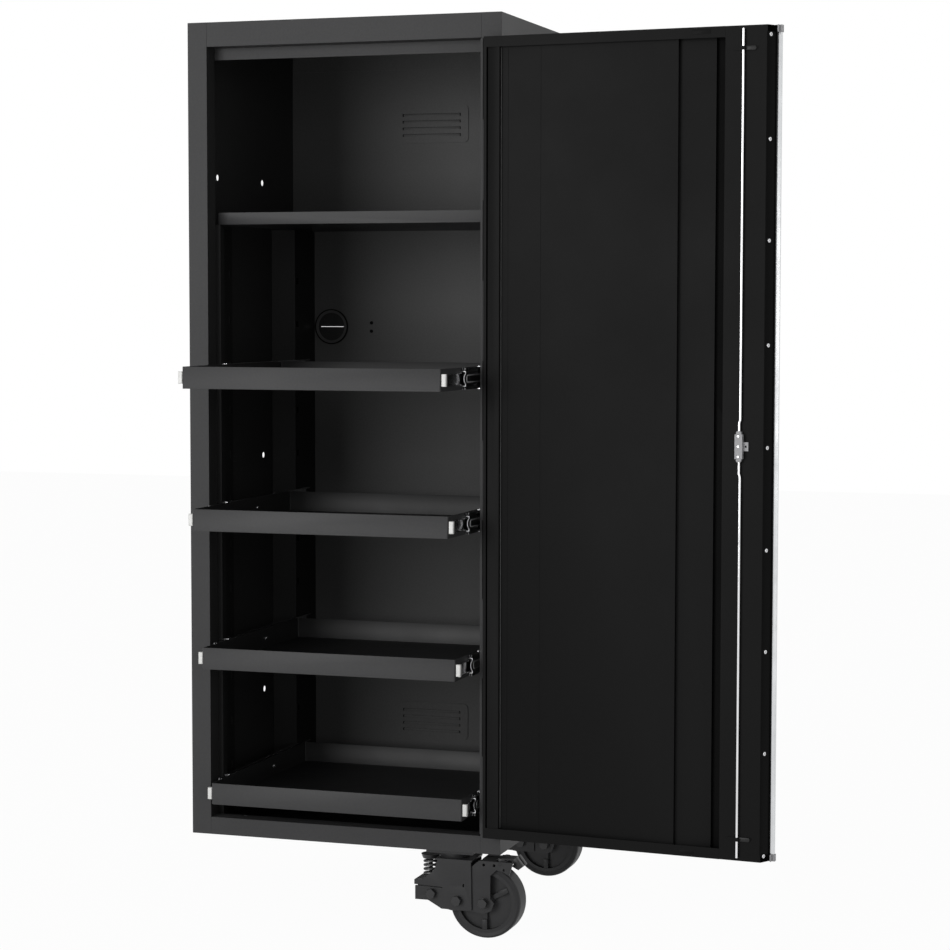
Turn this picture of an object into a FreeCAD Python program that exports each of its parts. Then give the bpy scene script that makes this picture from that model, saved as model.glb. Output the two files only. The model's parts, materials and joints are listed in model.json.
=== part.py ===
import FreeCAD
import Part
import os
from math import hypot

V = FreeCAD.Vector
os.makedirs("parts", exist_ok=True)

# ---- driving dimensions, millimetres; X to the right, Y into the cabinet, Z up from the box's underside ----
WIDTH = 680.0
DEPTH = 640.0
HEIGHT = 1690.0
SHEET = 1.2
FLOOR_SHEET = 1.5
POST_WIDTH = 42.5
POST_RETURN = 40.0
TOP_RAIL_HEIGHT = 50.0
BOTTOM_RAIL_HEIGHT = 36.5
STOP_DROP = 24.0
BACK_RECESS = 74.0
BACK_LAP = 53.0

SIDE_BOLT_R = 6.35
SIDE_BOLT_Y = (145.0, 387.0)
SIDE_BOLT_Z = (249.0, 776.0, 1380.0)

UPRIGHT_FACE = 53.3
UPRIGHT_SHEET = 1.5
SHELF_HEIGHT = 25.0
FRONT_UPRIGHT_BACK = 59.0
FRONT_FLANGE_END = 215.0
FRONT_SLOT_Y = 202.0
FRONT_SLOT_SIZE = (11.0, 16.0)
FRONT_SLOT_DROP = 102.5
REAR_UPRIGHT_WALL = 132.0
REAR_UPRIGHT_FACE = 118.0
REAR_SLOT_IN = 104.0
REAR_SLOT_SIZE = (13.0, 13.0)
REAR_SLOT_DROP = 113.0
SLOT_PITCH = 96.7
SLOT_ROWS = 12

SHELF_TOP = 1302.0
SHELF_FRONT = 45.0
SHELF_BACK_GAP = 1.0
SHELF_SIDE_GAP = 47.0

GROMMET = (91.0, 1062.0)
GROMMET_R = 37.5
GROMMET_HOLE_R = 34.5
SMALL_HOLES = ((192.0, 1070.0), (192.0, 1051.0))
SMALL_HOLE_R = 3.0
LOUVRE_X = (268.0, 406.0)
LOUVRE_PITCH = 15.0
LOUVRE_ROWS = 4
LOUVRE_HEIGHT = 6.0
PAD_TOP_GAP = 135.0
PAD_BOTTOM_GAP = 126.0
PAD_HEIGHT = 82.0
PAD_X = (256.0, 424.0)
LOUVRE_DROP = 16.5
PAD_CORNER = 10.0
PAD_RISE = 2.0

SLIDE_THICK = 12.7
TRAY_BACK_GAP = 51.0
TRAY_WALL = 44.4
TRAY_BOTTOMS = (942.5, 652.3, 363.2, 74.0)
TRAY_OUT = (180.0, 135.0, 90.4, 48.7)
TRAY_CORNER = 3.0
TRAY_CLOSED_Y = 44.0

SLIDE_HEIGHT = 45.7
SLIDE_FRONT = 46.0
SLIDE_BACK_GAP = 60.0
MIDDLE_SETBACK = 9.0
INNER_SHORT = 7.0
CATCH_LENGTH = 8.0
CATCH_HEIGHT = 24.6
CATCH_TAIL = 22.0

HINGE_OUT = 8.5
KNUCKLE_R = 4.0
PIN_R = 1.5
KNUCKLES = 10
HINGE_SHEET = 1.1
RUN = 0.05
DOOR_OPEN = 175.68
HINGE_GAP = 2.5
FREE_GAP = 3.5
BOTTOM_GAP = 4.5
TOP_GAP = 2.0
DOOR_THICK = 28.0
DOOR_FLANGE = 21.0
HINGE_FLANGE = 5.7
EDGE_RETURN = 4.0
STRIP_SHORT = 12.5
HANDLE_THICK = 2.5
HANDLE_FRONT = 8.0
HANDLE_OVER = 7.5
HANDLE_IN = 33.0
HANDLE_PAD = 17.0
HANDLE_OFF = 0.5
CAP_OVER = 1.5
CAP_OUT = 9.0
CAP_IN = 5.0
LINER_START = 8.0
LINER_STEP = 32.8
LINER_LAST_WIDTH = 73.1
SLOT_WIDTH = 22.4
LINER_RAISED = 26.6
LINER_MIDDLE = 18.0
LINER_LOW = 9.0
CHANNEL_WIDTH = 82.0
STRIP_WIDTH = 13.0

ROD_IN = 60.0
ROD_Y = 33.0
ROD_R = 2.5
ROD_JOG = 2.0
LATCH_Z = 842.0
LATCH_REACH = 12.0
JOG_UP = 45.0
JOG_DOWN = 52.0
ROD_TOP_GAP = 8.0
ROD_BOTTOM_GAP = 11.5
ROD_HOLE_R = 5.0
GUIDE_TOP_GAP = 43.0
GUIDE_BOTTOM_GAP = 43.0
GUIDE_HINGE_SIDE = 20.0
GUIDE_FREE_SIDE = 27.0
GUIDE_HALF = 3.5
CASE_WIDTH = 15.0
CASE_DEEP = 10.0
CASE_HEIGHT = 47.0
CASE_TAB_WIDTH = 10.0
CASE_TAB = 6.5
LUG_WIDTH = 10.0
LUG_HEIGHT = 17.0
CYLINDER_R = 8.0
CAM_R = 5.8

CASTER_FROM_RIGHT = 109.0
FRONT_CASTER_Y = 37.0
REAR_CASTER_GAP = 37.0
REAR_CASTER_IN = 38.0
WHEEL_R = 75.0
WHEEL_HALF = 25.0
AXLE = (72.0, -102.0)
PIVOT = (17.0, -100.0)
SPRING_BOLT = (-38.0, -89.0)
PEDAL_PIN = (107.0, -21.0)
SPRING_X = -52.0
SPRING_SEAT_Z = -63.0
SPRING_CUP_Z = -24.0
SPRING_R = 14.5
SPRING_WIRE_R = 1.6
SPRING_TURNS = 5
ARM_Y = (27.5, 31.5)
YOKE_Y = (32.0, 36.0)
MOUNT_X = 50.0
MOUNT_Y = 36.0
RACE_BOTTOM = -16.0
YOKE_TOP_BOTTOM = -20.0
KINGPIN_R = 6.0
AXLE_R = 6.0

# ---- sizes that follow from them ----
HINGE_X = WIDTH - POST_WIDTH + HINGE_OUT
HINGE_Y = -KNUCKLE_R
DOOR_X = (POST_WIDTH + FREE_GAP, WIDTH - POST_WIDTH - HINGE_GAP)
DOOR_Z = (BOTTOM_RAIL_HEIGHT + BOTTOM_GAP, HEIGHT - TOP_RAIL_HEIGHT - TOP_GAP)
DOOR_WIDTH = DOOR_X[1] - DOOR_X[0]
CHANNEL_END = DOOR_WIDTH - STRIP_WIDTH
CHANNEL_START = CHANNEL_END - CHANNEL_WIDTH
LINER_END = CHANNEL_START - SLOT_WIDTH
LINER_SECOND_STEP = LINER_END - LINER_LAST_WIDTH
ROD_U = DOOR_WIDTH - ROD_IN
BACK_Y = DEPTH - BACK_RECESS
REAR_UPRIGHT_WALL_Y = BACK_Y - REAR_UPRIGHT_WALL
REAR_UPRIGHT_FACE_Y = BACK_Y - REAR_UPRIGHT_FACE
REAR_SLOT_Y = BACK_Y - REAR_SLOT_IN
TRAY_DEPTH = BACK_Y - TRAY_BACK_GAP
UPRIGHT_TOP = SHELF_TOP - SHELF_HEIGHT
TRAY_X = (UPRIGHT_FACE + SLIDE_THICK, WIDTH - UPRIGHT_FACE - SLIDE_THICK)
SLIDE_Y = (SLIDE_FRONT, BACK_Y - SLIDE_BACK_GAP)
INNER_LENGTH = SLIDE_Y[1] - SLIDE_Y[0] - INNER_SHORT
SHELF_X = (SHELF_SIDE_GAP, WIDTH - SHELF_SIDE_GAP)
ORIGIN = V(0, sum(SIDE_BOLT_Y) / 2, (SIDE_BOLT_Z[0] + SIDE_BOLT_Z[-1]) / 2)


# ---- shape helpers ----
def box(x0, x1, y0, y1, z0, z1):
    return Part.makeBox(x1 - x0, y1 - y0, z1 - z0, V(x0, y0, z0))


def rod(start, axis, radius, length):
    return Part.makeCylinder(radius, length, V(*start), V(*axis))


def place(plane, a, b, c):
    return {"xy": V(a, b, c), "xz": V(a, c, b), "yz": V(c, a, b)}[plane]


def prism(points, plane, low, high):
    ring = [place(plane, a, b, low) for a, b in points]
    face = Part.Face(Part.makePolygon(ring + ring[:1]))
    return face.extrude(place(plane, 0, 0, high - low))


def offset_side(points, thickness):
    moved = []
    normals = []
    for (a0, b0), (a1, b1) in zip(points, points[1:]):
        length = hypot(a1 - a0, b1 - b0)
        normals.append((-(b1 - b0) / length, (a1 - a0) / length))
    for index, (a, b) in enumerate(points):
        first = normals[max(index - 1, 0)]
        second = normals[min(index, len(normals) - 1)]
        scale = thickness / (1 + first[0] * second[0] + first[1] * second[1])
        moved.append((a + scale * (first[0] + second[0]), b + scale * (first[1] + second[1])))
    return moved


def folded(points, thickness, plane, low, high):
    return prism(points + offset_side(points, thickness)[::-1], plane, low, high)


def fuse(shapes):
    shapes = list(shapes)
    return shapes[0].fuse(shapes[1:]).removeSplitter()


def mirrored(shape):
    return shape.mirror(V(WIDTH / 2, 0, 0), V(1, 0, 0))


def save(node, shapes, turn=0.0):
    shapes = list(shapes) if isinstance(shapes, (list, tuple)) else [shapes]
    result = []
    for shape in shapes:
        for solid in shape.Solids:
            copy = solid.copy()
            if turn:
                copy.rotate(V(HINGE_X, HINGE_Y, 0), V(0, 0, 1), turn)
            copy.translate(-ORIGIN)
            result.append(copy)
    whole = result[0] if len(result) == 1 else Part.makeCompound(result)
    whole.exportStep("parts/" + node + ".step")


def rounded_plate(x0, x1, z0, z1, corner, y0, y1):
    plate = box(x0, x1, y0, y1, z0, z1)
    edges = [e for e in plate.Edges if abs(e.tangentAt(e.FirstParameter).y) > 0.9]
    return plate.makeFillet(corner, edges)


# ---- cabinet sheets ----
side_path = [(0, DEPTH), (0, 0), (POST_WIDTH, 0), (POST_WIDTH, POST_RETURN)]
side = folded(side_path, SHEET, "xy", 0, HEIGHT)
side_holes = [rod((-1, y, z), (1, 0, 0), SIDE_BOLT_R, 4) for y in SIDE_BOLT_Y for z in SIDE_BOLT_Z]
save("left_side_panel", side.cut(side_holes))
save("right_side_panel", mirrored(side))

inner_x = (SHEET, WIDTH - SHEET)
opening_x = (POST_WIDTH, WIDTH - POST_WIDTH)
opening_z = (BOTTOM_RAIL_HEIGHT, HEIGHT - TOP_RAIL_HEIGHT)
roof_path = [(inner_x[1], HEIGHT - 20), (inner_x[1], HEIGHT), (inner_x[0], HEIGHT), (inner_x[0], HEIGHT - 20)]
roof = folded(roof_path, SHEET, "xz", POST_RETURN + 2, DEPTH)
roof = roof.fuse(box(inner_x[0], inner_x[1], SHEET, POST_RETURN + 2, HEIGHT - SHEET, HEIGHT)).removeSplitter()
posts = [side, mirrored(side)]
save("roof_panel", roof.cut(posts))
floor_path = [(inner_x[0], 20), (inner_x[0], 0), (inner_x[1], 0), (inner_x[1], 20)]
floor = folded(floor_path, FLOOR_SHEET, "xz", FRONT_FLANGE_END + 5, REAR_UPRIGHT_WALL_Y - 5)
floor = floor.fuse(box(inner_x[0], inner_x[1], SHEET, DEPTH, 0, FLOOR_SHEET)).removeSplitter()
save("floor_panel", floor.cut(posts))

rod_x = DOOR_X[1] - ROD_U
rod_end_x = rod_x - ROD_JOG
top_path = [(0, HEIGHT - SHEET), (0, opening_z[1]), (POST_RETURN, opening_z[1]),
            (POST_RETURN, opening_z[1] - STOP_DROP)]
top_rail = folded(top_path, SHEET, "yz", *opening_x)
save("top_rail", top_rail.cut(rod((rod_end_x, ROD_Y, opening_z[1] - 1), (0, 0, 1), ROD_HOLE_R, 4)))
bottom_path = [(POST_RETURN, FLOOR_SHEET), (POST_RETURN, opening_z[0]), (0, opening_z[0]), (0, 0)]
bottom_rail = folded(bottom_path, SHEET, "yz", *opening_x)
bottom_rail = bottom_rail.cut(box(*opening_x, -1, SHEET, -1, 0))
save("bottom_rail", bottom_rail.cut(rod((rod_end_x, ROD_Y, opening_z[0] - 3), (0, 0, 1), ROD_HOLE_R, 6)))

back_path = [(inner_x[0], DEPTH), (inner_x[0], BACK_Y), (inner_x[1], BACK_Y), (inner_x[1], DEPTH)]
back = folded(back_path, SHEET, "xy", 21, HEIGHT - 21)
back = back.fuse(box(*inner_x, BACK_Y, BACK_Y + SHEET, FLOOR_SHEET, HEIGHT - SHEET))
lap_z = (HEIGHT - BACK_LAP, HEIGHT - 2 * SHEET)
back = back.fuse(box(inner_x[0] + SHEET, inner_x[1] - SHEET, BACK_Y - SHEET, BACK_Y, *lap_z))
back = back.cut([box(x, x + SHEET, BACK_Y - 1, BACK_Y + 2, z, z + 20)
                 for x in (inner_x[0], inner_x[1] - SHEET) for z in (0.5, HEIGHT - 20)])
pad_y = BACK_Y - PAD_RISE
for low in (HEIGHT - PAD_TOP_GAP - PAD_HEIGHT, PAD_BOTTOM_GAP):
    high = low + PAD_HEIGHT
    pad = rounded_plate(*PAD_X, low, high, PAD_CORNER, pad_y, BACK_Y + SHEET / 2)
    hollow = rounded_plate(PAD_X[0] + SHEET, PAD_X[1] - SHEET, low + SHEET, high - SHEET, PAD_CORNER - SHEET,
                           pad_y + SHEET, BACK_Y + 2 * SHEET)
    back = back.fuse(pad).cut(hollow)
    for row in range(LOUVRE_ROWS):
        z = high - LOUVRE_DROP - row * LOUVRE_PITCH
        back = back.cut(box(*LOUVRE_X, pad_y - 1, BACK_Y + 2, z - LOUVRE_HEIGHT, z))
        hood = [(pad_y + SHEET / 2, z), (pad_y + 2 * SHEET, z), (pad_y + SHEET + LOUVRE_HEIGHT, z - LOUVRE_HEIGHT),
                (pad_y + SHEET + LOUVRE_HEIGHT, z - LOUVRE_HEIGHT - 4)]
        back = back.fuse(folded(hood, SHEET, "yz", *LOUVRE_X))
back = back.cut(rod((GROMMET[0], BACK_Y - 1, GROMMET[1]), (0, 1, 0), GROMMET_HOLE_R, 4))
back = back.cut([rod((x, BACK_Y - 1, z), (0, 1, 0), SMALL_HOLE_R, 4) for x, z in SMALL_HOLES])
save("back_panel", back.removeSplitter())

grommet = rod((GROMMET[0], BACK_Y - 3, GROMMET[1]), (0, 1, 0), GROMMET_R, 3)
grommet = grommet.fuse(rod((GROMMET[0], BACK_Y, GROMMET[1]), (0, 1, 0), GROMMET_HOLE_R, 6))
grommet = grommet.cut(rod((GROMMET[0], BACK_Y - 1.5, GROMMET[1]), (0, 1, 0), GROMMET_HOLE_R - 4, 9))
grommet = grommet.cut(rod((GROMMET[0], BACK_Y - 4, GROMMET[1]), (0, 1, 0), GROMMET_HOLE_R - 10, 2))
for index in range(4):
    slit = box(-GROMMET_HOLE_R + 8, GROMMET_HOLE_R - 8, BACK_Y - 4, BACK_Y + 8, -0.6, 0.6)
    slit.rotate(V(0, 0, 0), V(0, 1, 0), 45 * index)
    slit.translate(V(GROMMET[0], 0, GROMMET[1]))
    grommet = grommet.cut(slit)
save("cable_grommet", grommet)

# ---- uprights and shelf ----
wall = SHEET + UPRIGHT_SHEET
front_path = [(SHEET, POST_RETURN), (UPRIGHT_FACE, POST_RETURN), (UPRIGHT_FACE, FRONT_UPRIGHT_BACK),
              (wall, FRONT_UPRIGHT_BACK), (wall, FRONT_FLANGE_END)]
rear_path = [(wall, REAR_UPRIGHT_WALL_Y), (UPRIGHT_FACE, REAR_UPRIGHT_FACE_Y), (UPRIGHT_FACE, BACK_Y),
             (wall, BACK_Y)]
front_upright = folded(front_path, UPRIGHT_SHEET, "xy", FLOOR_SHEET, UPRIGHT_TOP)
rear_upright = folded(rear_path, UPRIGHT_SHEET, "xy", FLOOR_SHEET, UPRIGHT_TOP)


def slots(y, size, drop, x0, x1):
    wide, high = size
    rows = [UPRIGHT_TOP - drop - row * SLOT_PITCH for row in range(SLOT_ROWS)]
    return [box(x0, x1, y - wide / 2, y + wide / 2, z - high / 2, z + high / 2) for z in rows]


front_upright = front_upright.cut(slots(FRONT_SLOT_Y, FRONT_SLOT_SIZE, FRONT_SLOT_DROP, SHEET, wall + 1))
rear_upright = rear_upright.cut(slots(REAR_SLOT_Y, REAR_SLOT_SIZE, REAR_SLOT_DROP, UPRIGHT_FACE - 3,
                                      UPRIGHT_FACE + 1))
save("left_uprights", [front_upright, rear_upright])
save("right_uprights", [mirrored(front_upright), mirrored(rear_upright)])

shelf_back = BACK_Y - SHELF_BACK_GAP
shelf = box(*SHELF_X, SHELF_FRONT, shelf_back, UPRIGHT_TOP, SHELF_TOP)
shelf = shelf.cut(box(SHELF_X[0] + SHEET, SHELF_X[1] - SHEET, SHELF_FRONT + SHEET, shelf_back - SHEET,
                      UPRIGHT_TOP - 1, SHELF_TOP - SHEET))
save("shelf", shelf)

# ---- trays and slides; slide profiles start at the upright's face ----
half = SLIDE_HEIGHT / 2
outer_path = [(11, half - 2.25), (11, half), (0, half), (0, -half), (11, -half), (11, -half + 2.25)]
gap = SLIDE_THICK
inner_path = [(7.2, 12.0), (gap, 12.0), (gap, -12.0), (7.2, -12.0)]
tip = half - SHEET - 0.15
middle_half = [(5.8, 13.8), (3.2, 18.4), (3.2, tip), (4.4, tip), (4.4, 18.8), (6.4, 15.3), (8.4, 18.8),
               (8.4, tip), (9.6, tip), (9.6, 18.4), (7.0, 13.8)]
middle_points = middle_half + [(a, -b) for a, b in middle_half[::-1]]


def both_sides(shape, z):
    left = shape.copy()
    left.translate(V(UPRIGHT_FACE, 0, z))
    return [left, mirrored(left)]


outers = []
for number, (bottom, out) in enumerate(zip(TRAY_BOTTOMS, TRAY_OUT), start=1):
    centre = bottom + TRAY_WALL / 2
    front = -out
    outers += both_sides(folded(outer_path, SHEET, "xz", *SLIDE_Y), centre)
    shift = (front - TRAY_CLOSED_Y) / 2
    middle = prism(middle_points, "xz", SLIDE_FRONT + MIDDLE_SETBACK + shift, SLIDE_Y[1] + shift)
    save("slide_middle_%d" % number, both_sides(middle, centre))
    start = front + 1 + CATCH_LENGTH
    inner = folded(inner_path, -SHEET, "xz", start, start + INNER_LENGTH)
    save("slide_inner_%d" % number, both_sides(inner, centre))
    head = box(2.5, gap - 0.7, front + 1, start, -CATCH_HEIGHT / 2, CATCH_HEIGHT / 2)
    edges = [e for e in head.Edges if e.BoundBox.YMax < front + 1.1]
    head = head.makeFillet(2.5, edges)
    tail = box(7.8, gap - SHEET - 0.1, start - 1, start + CATCH_TAIL, -9, 9)
    save("catches_%d" % number, both_sides(head.fuse(tail).removeSplitter(), centre))
    tray = box(*TRAY_X, front, front + TRAY_DEPTH, bottom, bottom + TRAY_WALL)
    upright_edges = [e for e in tray.Edges if abs(e.tangentAt(e.FirstParameter).z) > 0.9]
    tray = tray.makeFillet(TRAY_CORNER, upright_edges)
    hollow = box(TRAY_X[0] + SHEET, TRAY_X[1] - SHEET, front + SHEET, front + TRAY_DEPTH - SHEET,
                 bottom + SHEET, bottom + TRAY_WALL + 1)
    upright_edges = [e for e in hollow.Edges if abs(e.tangentAt(e.FirstParameter).z) > 0.9]
    save("tray_%d" % number, tray.cut(hollow.makeFillet(TRAY_CORNER - SHEET, upright_edges)))
save("slide_outer_members", outers)

# ---- full-height hinge ----
step = (DOOR_Z[1] - DOOR_Z[0]) / KNUCKLES
edge_x = WIDTH - POST_WIDTH
cabinet_path = [(HINGE_X, 0), (edge_x, 0), (edge_x, 30)]
cabinet_leaf = folded(cabinet_path, HINGE_SHEET, "xy", *DOOR_Z)
leaf_y = -HINGE_SHEET - 0.2
door_path = [(HINGE_X, leaf_y - HINGE_SHEET), (DOOR_X[1], leaf_y - HINGE_SHEET), (DOOR_X[1], DOOR_THICK - 2)]
door_leaf = folded(door_path, -HINGE_SHEET, "xy", *DOOR_Z)
for index in range(KNUCKLES):
    low = DOOR_Z[0] + index * step
    barrel = rod((HINGE_X, HINGE_Y, low + 0.1), (0, 0, 1), KNUCKLE_R, step - 0.2)
    notch = box(HINGE_X - KNUCKLE_R - 1, HINGE_X + 1, -2 * KNUCKLE_R, SHEET, low, low + step)
    if index % 2:
        door_leaf = door_leaf.fuse(barrel)
        cabinet_leaf = cabinet_leaf.cut(notch)
    else:
        cabinet_leaf = cabinet_leaf.fuse(barrel)
        door_leaf = door_leaf.cut(notch)
pin_start = (HINGE_X, HINGE_Y, DOOR_Z[0])
pin_length = DOOR_Z[1] - DOOR_Z[0]
cabinet_leaf = cabinet_leaf.cut(rod(pin_start, (0, 0, 1), PIN_R, pin_length))
door_leaf = door_leaf.cut(rod(pin_start, (0, 0, 1), PIN_R + RUN, pin_length))
save("hinge_cabinet_leaf", cabinet_leaf)
save("hinge_door_leaf", door_leaf, DOOR_OPEN)
save("hinge_pin", rod(pin_start, (0, 0, 1), PIN_R, pin_length))


# ---- door, drawn closed and saved open ----
def door_points(pairs):
    return [(DOOR_X[1] - u, y) for u, y in pairs]


def door_x(u):
    return DOOR_X[1] - u


inside_z = (DOOR_Z[0] + SHEET, DOOR_Z[1] - SHEET)
skin = box(*DOOR_X, 0, DOOR_THICK, *DOOR_Z)
skin = skin.cut(box(DOOR_X[0] + SHEET, DOOR_X[1] - SHEET, SHEET, DOOR_THICK - SHEET, *inside_z))
skin = skin.cut(box(door_x(CHANNEL_START), DOOR_X[1] - HINGE_FLANGE, DOOR_THICK - 2, DOOR_THICK + 1,
                    DOOR_Z[0] + DOOR_FLANGE, DOOR_Z[1] - DOOR_FLANGE))
skin = skin.cut(box(DOOR_X[0] - 1, door_x(CHANNEL_START), DOOR_THICK - SHEET - 0.1, DOOR_THICK + 1,
                    DOOR_Z[0] - 1, DOOR_Z[1] + 1))
corner = [(door_x(CHANNEL_END), DOOR_THICK + 2), (door_x(CHANNEL_END), DOOR_THICK),
          (DOOR_X[0] + SHEET, EDGE_RETURN), (DOOR_X[0] - 1, EDGE_RETURN), (DOOR_X[0] - 1, DOOR_THICK + 2)]
skin = skin.cut(prism(corner, "xy", DOOR_Z[0] - 1, DOOR_Z[1] + 1))
rod_x = door_x(ROD_U)
lock_hole = rod((rod_x, -1, LATCH_Z), (0, 1, 0), CYLINDER_R + RUN, 40)
save("door_skin", skin.cut(lock_hole), DOOR_OPEN)

liner_pairs = [(LINER_START, SHEET), (LINER_START, LINER_RAISED), (LINER_STEP, LINER_RAISED),
               (LINER_STEP, LINER_MIDDLE), (LINER_SECOND_STEP, LINER_MIDDLE), (LINER_SECOND_STEP, LINER_LOW),
               (LINER_END, LINER_LOW), (LINER_END, SHEET)]
save("door_liner", folded(door_points(liner_pairs), SHEET, "xy", *inside_z), DOOR_OPEN)
channel_pairs = [(CHANNEL_START, SHEET), (CHANNEL_START, DOOR_THICK), (CHANNEL_END, DOOR_THICK),
                 (DOOR_WIDTH - SHEET - 0.4, SHEET + 0.6)]
channel = folded(door_points(channel_pairs), SHEET, "xy", *inside_z)
channel = channel.cut([box(DOOR_X[0], door_x(CHANNEL_END) - 0.1, 0, DOOR_THICK, z - STRIP_SHORT, z + STRIP_SHORT)
                       for z in DOOR_Z])
save("latch_channel", channel.cut(lock_hole), DOOR_OPEN)

edge = DOOR_X[0]
handle_end = edge - HANDLE_OVER
handle_rear = -HANDLE_OFF - HANDLE_THICK
handle_points = [(edge + HANDLE_IN, 0), (edge + HANDLE_IN, handle_rear + 1), (edge + HANDLE_IN - 1, handle_rear),
                 (handle_end + HANDLE_THICK, handle_rear), (handle_end + HANDLE_THICK, -HANDLE_FRONT + 1),
                 (handle_end + HANDLE_THICK - 1, -HANDLE_FRONT), (handle_end + 1, -HANDLE_FRONT),
                 (handle_end, -HANDLE_FRONT + 1), (handle_end, -HANDLE_OFF),
                 (edge + HANDLE_IN - HANDLE_PAD, -HANDLE_OFF), (edge + HANDLE_IN - HANDLE_PAD, 0)]
handle_z = (DOOR_Z[0] + STRIP_SHORT, DOOR_Z[1] - STRIP_SHORT)
save("door_handle", prism(handle_points, "xy", *handle_z), DOOR_OPEN)
cap_front = -HANDLE_FRONT - HANDLE_OFF
cap_points = [(edge + CAP_IN, cap_front), (edge + CAP_IN, 0), (edge, 0), (edge, EDGE_RETURN + 2),
              (edge - FREE_GAP + HANDLE_OFF, EDGE_RETURN + 2), (edge - FREE_GAP + HANDLE_OFF, -HANDLE_OFF),
              (edge - CAP_OUT, -HANDLE_OFF), (edge - CAP_OUT, cap_front)]
caps = [prism(cap_points, "xy", DOOR_Z[0] - CAP_OVER, handle_z[0]),
        prism(cap_points, "xy", handle_z[1], DOOR_Z[1] + CAP_OVER)]
save("handle_caps", caps, DOOR_OPEN)

hump = ROD_R + 0.4
guide_x = rod_x - ROD_JOG
guide_path = [(guide_x + GUIDE_HINGE_SIDE, DOOR_THICK), (guide_x + hump, DOOR_THICK),
              (guide_x + hump, ROD_Y + hump), (guide_x - hump, ROD_Y + hump), (guide_x - hump, DOOR_THICK),
              (guide_x - GUIDE_FREE_SIDE, DOOR_THICK)]
guides = [folded(guide_path, -SHEET, "xy", z - GUIDE_HALF, z + GUIDE_HALF)
          for z in (DOOR_Z[0] + GUIDE_BOTTOM_GAP, DOOR_Z[1] - GUIDE_TOP_GAP)]
save("rod_guides", guides, DOOR_OPEN)

case_y = (DOOR_THICK, DOOR_THICK + CASE_DEEP)
case_half = CASE_HEIGHT / 2
tab_z = case_half + CASE_TAB
case = box(rod_x - CASE_WIDTH / 2, rod_x + CASE_WIDTH / 2, *case_y, LATCH_Z - case_half, LATCH_Z + case_half)
tabs = rounded_plate(rod_x - CASE_TAB_WIDTH / 2, rod_x + CASE_TAB_WIDTH / 2, LATCH_Z - tab_z, LATCH_Z + tab_z, 4,
                     case_y[0], case_y[1] - SHEET)
lug_x = rod_x - CASE_WIDTH / 2
lug = box(lug_x - LUG_WIDTH, lug_x + 1, DOOR_THICK, DOOR_THICK + 3, LATCH_Z - LUG_HEIGHT / 2, LATCH_Z + LUG_HEIGHT / 2)
lug = lug.cut(rod((lug_x - LUG_WIDTH / 2, DOOR_THICK - 1, LATCH_Z), (0, 1, 0), 2.2, 5))
hollow = box(rod_x - CASE_WIDTH / 2 + SHEET, rod_x + CASE_WIDTH / 2 - SHEET, DOOR_THICK - 1, case_y[1] - SHEET,
             LATCH_Z - case_half + SHEET, LATCH_Z + case_half - SHEET)
passage = rod((rod_x, ROD_Y, LATCH_Z - 2 * tab_z), (0, 0, 1), ROD_R + 0.1, 4 * tab_z)
save("latch_case", fuse([case, tabs, lug]).cut([hollow, passage]), DOOR_OPEN)

cylinder = fuse([rod((rod_x, -3, LATCH_Z), (0, 1, 0), CYLINDER_R, DOOR_THICK + 2.5),
                 rod((rod_x, DOOR_THICK - 1, LATCH_Z), (0, 1, 0), 4, 5),
                 rod((rod_x, ROD_Y - 2, LATCH_Z), (0, 1, 0), CAM_R, 4),
                 rod((rod_x, -4, LATCH_Z), (0, 1, 0), CYLINDER_R + 2, 4)])
save("lock_cylinder", cylinder, DOOR_OPEN)


def lock_rod(start, jog, end):
    way = 1 if end > start else -1
    path = Part.makePolygon([V(rod_x, ROD_Y, start), V(rod_x, ROD_Y, jog), V(rod_end_x, ROD_Y, jog + way * 6),
                             V(rod_end_x, ROD_Y, end)])
    ring = Part.Wire(Part.Circle(V(rod_x, ROD_Y, start), V(0, 0, 1), ROD_R).toShape())
    return Part.Wire(path).makePipeShell([ring], True, False, 1)


upper = lock_rod(LATCH_Z + LATCH_REACH, LATCH_Z + JOG_UP, opening_z[1] - ROD_TOP_GAP)
lower = lock_rod(LATCH_Z - LATCH_REACH, LATCH_Z - JOG_DOWN, opening_z[0] + ROD_BOTTOM_GAP)
save("rod_upper", upper, DOOR_OPEN)
save("rod_lower", lower, DOOR_OPEN)

# ---- casters, drawn about the swivel axis with Z = 0 at the box's underside ----
yoke_outline = [(-26, YOKE_TOP_BOTTOM), (-31, -36), (-39, -47), (-59, -61), (-76, -63), (-76, -73), (-15, -75),
                (-15, -76.6), (-74, -75.4), (-74, -104), (-46, -104), (-17, -120), (-5, -120), (7, -122),
                (48, -119), (46, YOKE_TOP_BOTTOM)]
arm_outline = [(-70, -70), (-70, -101), (-46, -101), (-17, -117), (-5, -117), (7, -121), (50, -122), (72, -125),
               (88, -118), (94, -102), (86, -92), (86, -46), (99, -33), (112, -36), (126, -43), (134, -16),
               (62, -16), (52, -24), (38, -40), (30, -70)]


def side_plates(outline, span):
    return [prism(outline, "xz", *span), prism(outline, "xz", -span[1], -span[0])]


def across(centre, radius, y0, y1):
    return rod((centre[0], y0, centre[1]), (0, 1, 0), radius, y1 - y0)


def hexagon(centre, radius, y0, y1):
    x, z = centre
    corners = [(1, 0), (0.5, 0.866), (-0.5, 0.866), (-1, 0), (-0.5, -0.866), (0.5, -0.866)]
    return prism([(x + radius * a, z + radius * b) for a, b in corners], "xz", y0, y1)


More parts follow.
